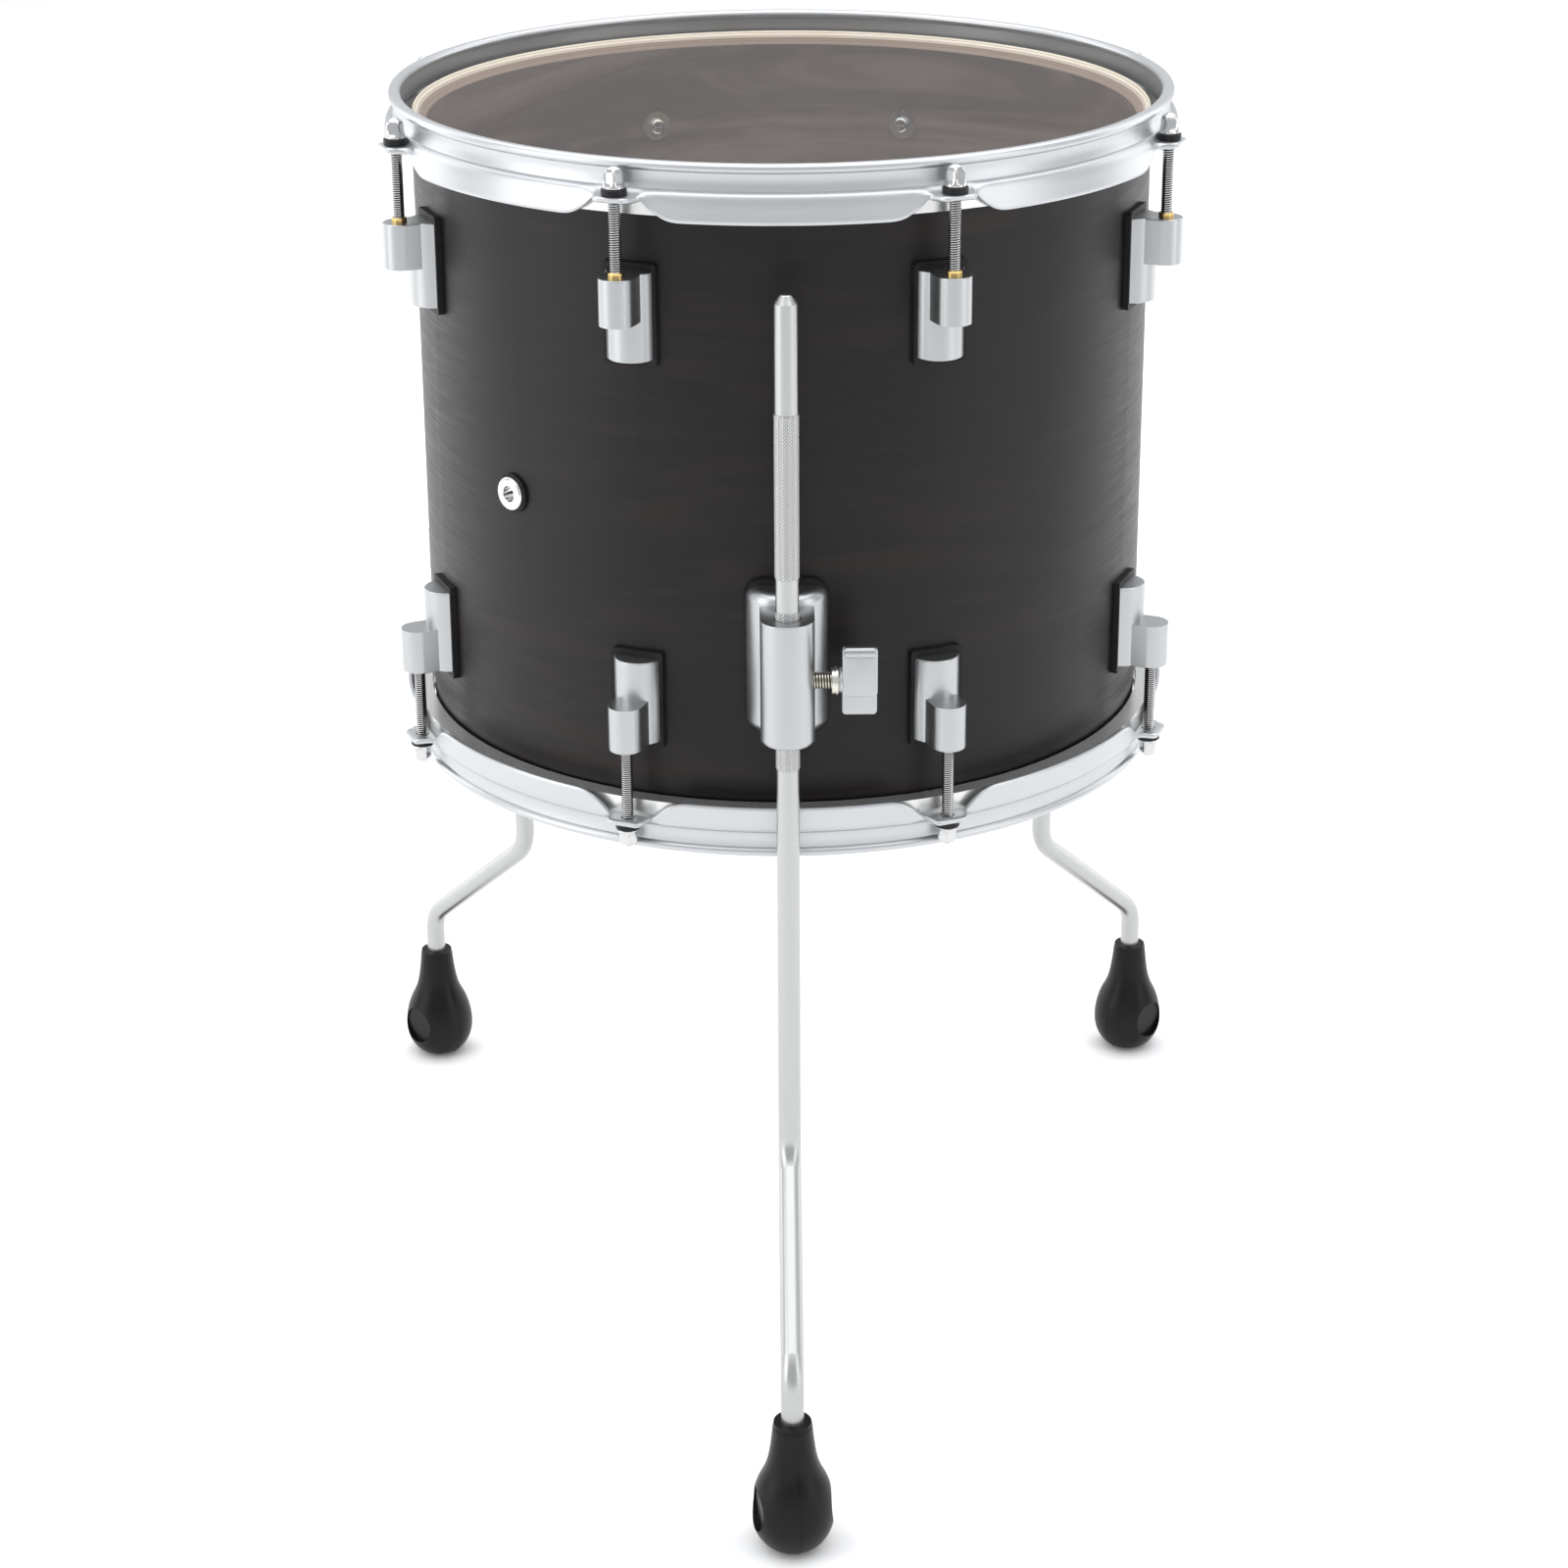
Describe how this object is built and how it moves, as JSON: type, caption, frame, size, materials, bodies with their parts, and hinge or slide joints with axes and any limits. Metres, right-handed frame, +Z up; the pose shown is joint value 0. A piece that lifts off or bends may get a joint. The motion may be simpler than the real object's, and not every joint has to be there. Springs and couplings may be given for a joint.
{
  "type": "floor tom drum",
  "caption": "Floor tom with dark stained wood shell, clear heads, pressed silver hoops, tension rods and lugs, and adjustable bent legs with rubber feet.",
  "frame": {"origin": "on the drum's axis, at floor level between the three feet", "axes": "+Z up along the drum's axis, -Y towards the front leg, +X to the right seen from the front"},
  "size_m": [0.4496, 0.5347, 0.624],
  "materials": {
    "stained_wood": "satin dark stain over maple plies",
    "satin_hoop": "satin silver",
    "flesh_aluminium": "mill finish",
    "clear_film": "clear polyester film",
    "foot_rubber": "moulded, satin",
    "satin_casting": "satin silver casting",
    "satin_leg": "satin plated bar",
    "black_rubber": "matte gasket",
    "black_nylon": "moulded washer",
    "brass": "turned brass",
    "rod_chrome": "bright plated steel",
    "zinc_steel": "zinc plated steel",
    "vent_chrome": "bright plated"
  },
  "bodies": {
    "drum": {"batter_film": "clear_film", "batter_flesh_hoop": "flesh_aluminium", "bottom_hoop": "satin_hoop", "bracket_gaskets": "black_rubber", "bracket_screw_washers": "zinc_steel", "bracket_screws": "zinc_steel", "front_leg_bracket": "satin_casting", "left_leg_bracket": "satin_casting", "lower_lug_gaskets": "black_rubber", "lower_lug_inserts": "brass", "lower_lug_screw_washers": "zinc_steel", "lower_lug_screws": "zinc_steel", "lower_lugs": "satin_casting", "lower_rod_washers": "black_nylon", "resonant_film": "clear_film", "resonant_flesh_hoop": "flesh_aluminium", "right_leg_bracket": "satin_casting", "shell": "stained_wood", "top_hoop": "satin_hoop", "upper_lug_gaskets": "black_rubber", "upper_lug_inserts": "brass", "upper_lug_screw_washers": "zinc_steel", "upper_lug_screws": "zinc_steel", "upper_lugs": "satin_casting", "upper_rod_washers": "black_nylon", "vent_eyelet": "vent_chrome", "vent_gasket": "black_rubber", "vent_nut": "vent_chrome"},
    "lower_rod_1": {"lower_rod_1": "rod_chrome"},
    "lower_rod_2": {"lower_rod_2": "rod_chrome"},
    "lower_rod_3": {"lower_rod_3": "rod_chrome"},
    "lower_rod_4": {"lower_rod_4": "rod_chrome"},
    "lower_rod_5": {"lower_rod_5": "rod_chrome"},
    "lower_rod_6": {"lower_rod_6": "rod_chrome"},
    "lower_rod_7": {"lower_rod_7": "rod_chrome"},
    "lower_rod_8": {"lower_rod_8": "rod_chrome"},
    "upper_rod_1": {"upper_rod_1": "rod_chrome"},
    "upper_rod_2": {"upper_rod_2": "rod_chrome"},
    "upper_rod_3": {"upper_rod_3": "rod_chrome"},
    "upper_rod_4": {"upper_rod_4": "rod_chrome"},
    "upper_rod_5": {"upper_rod_5": "rod_chrome"},
    "upper_rod_6": {"upper_rod_6": "rod_chrome"},
    "upper_rod_7": {"upper_rod_7": "rod_chrome"},
    "upper_rod_8": {"upper_rod_8": "rod_chrome"},
    "front_leg": {"front_leg": "satin_leg", "front_foot": "foot_rubber"},
    "front_bolt_washers": {"front_bolt_washers": "zinc_steel"},
    "front_wing_bolt": {"front_wing_bolt": "satin_casting"},
    "front_clamp_pad": {"front_clamp_pad": "zinc_steel"},
    "right_leg": {"right_leg": "satin_leg", "right_foot": "foot_rubber"},
    "right_bolt_washers": {"right_bolt_washers": "zinc_steel"},
    "right_wing_bolt": {"right_wing_bolt": "satin_casting"},
    "right_clamp_pad": {"right_clamp_pad": "zinc_steel"},
    "left_leg": {"left_leg": "satin_leg", "left_foot": "foot_rubber"},
    "left_bolt_washers": {"left_bolt_washers": "zinc_steel"},
    "left_wing_bolt": {"left_wing_bolt": "satin_casting"},
    "left_clamp_pad": {"left_clamp_pad": "zinc_steel"}
  },
  "joints": [
    {"name": "lower_rod_1_turn", "type": "hinge", "parent": "drum", "child": "lower_rod_1", "pos_m": [0.07367, -0.17785, 0.342], "axis": [0, 0, 1], "continuous": true},
    {"name": "lower_rod_2_turn", "type": "hinge", "parent": "drum", "child": "lower_rod_2", "pos_m": [0.17785, -0.07367, 0.342], "axis": [0, 0, 1], "continuous": true},
    {"name": "lower_rod_3_turn", "type": "hinge", "parent": "drum", "child": "lower_rod_3", "pos_m": [0.17785, 0.07367, 0.342], "axis": [0, 0, 1], "continuous": true},
    {"name": "lower_rod_4_turn", "type": "hinge", "parent": "drum", "child": "lower_rod_4", "pos_m": [0.07367, 0.17785, 0.342], "axis": [0, 0, 1], "continuous": true},
    {"name": "lower_rod_5_turn", "type": "hinge", "parent": "drum", "child": "lower_rod_5", "pos_m": [-0.07367, 0.17785, 0.342], "axis": [0, 0, 1], "continuous": true},
    {"name": "lower_rod_6_turn", "type": "hinge", "parent": "drum", "child": "lower_rod_6", "pos_m": [-0.17785, 0.07367, 0.342], "axis": [0, 0, 1], "continuous": true},
    {"name": "lower_rod_7_turn", "type": "hinge", "parent": "drum", "child": "lower_rod_7", "pos_m": [-0.17785, -0.07367, 0.342], "axis": [0, 0, 1], "continuous": true},
    {"name": "lower_rod_8_turn", "type": "hinge", "parent": "drum", "child": "lower_rod_8", "pos_m": [-0.07367, -0.17785, 0.342], "axis": [0, 0, 1], "continuous": true},
    {"name": "upper_rod_1_turn", "type": "hinge", "parent": "drum", "child": "upper_rod_1", "pos_m": [0.07367, -0.17785, 0.582], "axis": [0, 0, 1], "continuous": true},
    {"name": "upper_rod_2_turn", "type": "hinge", "parent": "drum", "child": "upper_rod_2", "pos_m": [0.17785, -0.07367, 0.582], "axis": [0, 0, 1], "continuous": true},
    {"name": "upper_rod_3_turn", "type": "hinge", "parent": "drum", "child": "upper_rod_3", "pos_m": [0.17785, 0.07367, 0.582], "axis": [0, 0, 1], "continuous": true},
    {"name": "upper_rod_4_turn", "type": "hinge", "parent": "drum", "child": "upper_rod_4", "pos_m": [0.07367, 0.17785, 0.582], "axis": [0, 0, 1], "continuous": true},
    {"name": "upper_rod_5_turn", "type": "hinge", "parent": "drum", "child": "upper_rod_5", "pos_m": [-0.07367, 0.17785, 0.582], "axis": [0, 0, 1], "continuous": true},
    {"name": "upper_rod_6_turn", "type": "hinge", "parent": "drum", "child": "upper_rod_6", "pos_m": [-0.17785, 0.07367, 0.582], "axis": [0, 0, 1], "continuous": true},
    {"name": "upper_rod_7_turn", "type": "hinge", "parent": "drum", "child": "upper_rod_7", "pos_m": [-0.17785, -0.07367, 0.582], "axis": [0, 0, 1], "continuous": true},
    {"name": "upper_rod_8_turn", "type": "hinge", "parent": "drum", "child": "upper_rod_8", "pos_m": [-0.07367, -0.17785, 0.582], "axis": [0, 0, 1], "continuous": true},
    {"name": "front_leg_slide", "type": "slide", "parent": "drum", "child": "front_leg", "axis": [0, 0, 1], "range_m": [-0.12, 0.15]},
    {"name": "front_washers_slide", "type": "slide", "parent": "drum", "child": "front_bolt_washers", "axis": [1, 0, 0], "range_m": [0, 0.00375]},
    {"name": "front_wing_turn", "type": "hinge", "parent": "front_bolt_washers", "child": "front_wing_bolt", "pos_m": [0, -0.2066, 0.3952], "axis": [1, 0, 0], "range_deg": [0, 1080]},
    {"name": "front_pad_slide", "type": "slide", "parent": "drum", "child": "front_clamp_pad", "axis": [1, 0, 0], "range_m": [0, 0.00375]},
    {"name": "right_leg_slide", "type": "slide", "parent": "drum", "child": "right_leg", "axis": [0, 0, 1], "range_m": [-0.12, 0.15]},
    {"name": "right_washers_slide", "type": "slide", "parent": "drum", "child": "right_bolt_washers", "axis": [-0.7071, 0.7071, 0], "range_m": [0, 0.00375]},
    {"name": "right_wing_turn", "type": "hinge", "parent": "right_bolt_washers", "child": "right_wing_bolt", "pos_m": [0.14609, 0.14609, 0.3952], "axis": [-0.7071, 0.7071, 0], "range_deg": [0, 1080]},
    {"name": "right_pad_slide", "type": "slide", "parent": "drum", "child": "right_clamp_pad", "axis": [-0.7071, 0.7071, 0], "range_m": [0, 0.00375]},
    {"name": "left_leg_slide", "type": "slide", "parent": "drum", "child": "left_leg", "axis": [0, 0, 1], "range_m": [-0.12, 0.15]},
    {"name": "left_washers_slide", "type": "slide", "parent": "drum", "child": "left_bolt_washers", "axis": [-0.7071, -0.7071, 0], "range_m": [0, 0.00375]},
    {"name": "left_wing_turn", "type": "hinge", "parent": "left_bolt_washers", "child": "left_wing_bolt", "pos_m": [-0.14609, 0.14609, 0.3952], "axis": [-0.7071, -0.7071, 0], "range_deg": [0, 1080]},
    {"name": "left_pad_slide", "type": "slide", "parent": "drum", "child": "left_clamp_pad", "axis": [-0.7071, -0.7071, 0], "range_m": [0, 0.00375]}
  ],
  "couplings": [
    {"joint": "front_wing_turn", "follows": "front_washers_slide", "rad_per_m": 5026.5},
    {"joint": "front_pad_slide", "follows": "front_washers_slide", "ratio": 1},
    {"joint": "right_wing_turn", "follows": "right_washers_slide", "rad_per_m": 5026.5},
    {"joint": "right_pad_slide", "follows": "right_washers_slide", "ratio": 1},
    {"joint": "left_wing_turn", "follows": "left_washers_slide", "rad_per_m": 5026.5},
    {"joint": "left_pad_slide", "follows": "left_washers_slide", "ratio": 1}
  ]
}
